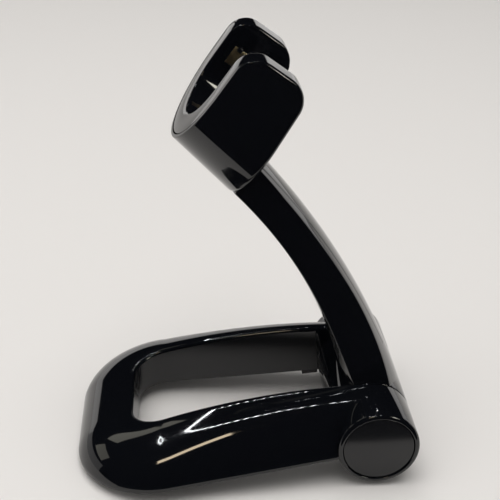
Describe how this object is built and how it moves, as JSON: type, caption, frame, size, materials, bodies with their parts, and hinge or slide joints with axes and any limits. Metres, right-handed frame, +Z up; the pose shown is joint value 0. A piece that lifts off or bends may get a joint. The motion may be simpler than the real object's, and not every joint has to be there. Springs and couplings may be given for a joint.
{
  "type": "handheld scanner stand",
  "caption": "Glossy desk stand: a weighted open loop, a curved arm on a friction hinge, and a U-shaped cup that holds the neck of a handheld scanner.",
  "frame": {"origin": "on the desk, under the middle of the overall box", "axes": "+X from the loop's front rim to the hinge at the rear, +Y to the stand's right, +Z up"},
  "size_m": [0.1176, 0.0852, 0.1477],
  "materials": {
    "gloss_black": "polished black moulding with fine handling scratches",
    "satin_black": "satin black moulding",
    "matt_black": "spark-eroded matt black moulding",
    "rubber_grey": "soft rubber",
    "steel_bar": "sawn steel bar",
    "zinc_steel": "zinc plated",
    "acetal": "natural acetal",
    "friction_fibre": "brown fibre washer",
    "yellow_brass": "plain stamped sheet",
    "nickel": "nickel plated"
  },
  "bodies": {
    "base": {"base_shell": "gloss_black", "base_cover": "matt_black", "base_cover_screws": "zinc_steel", "left_ballast": "steel_bar", "right_ballast": "steel_bar", "front_ballast": "steel_bar", "front_left_foot": "rubber_grey", "front_right_foot": "rubber_grey", "rear_left_foot": "rubber_grey", "rear_right_foot": "rubber_grey", "left_end_cap": "satin_black", "right_end_cap": "satin_black", "hinge_bolt": "zinc_steel", "hinge_nut": "zinc_steel", "hinge_washer": "zinc_steel", "disc_springs": "zinc_steel"},
    "arm": {"arm_shell": "gloss_black", "arm_back_cover": "gloss_black", "cup_screws": "zinc_steel", "cup_shell": "gloss_black", "cup_liner": "gloss_black", "keeper_plate": "yellow_brass", "trigger_magnet": "nickel", "left_bush": "acetal", "right_bush": "acetal", "left_friction_washer": "friction_fibre", "right_friction_washer": "friction_fibre"}
  },
  "joints": [
    {"name": "arm_tilt", "type": "hinge", "parent": "base", "child": "arm", "pos_m": [0.04465, 0, 0.0158], "axis": [0, 1, 0], "range_deg": [-30, 35]}
  ]
}
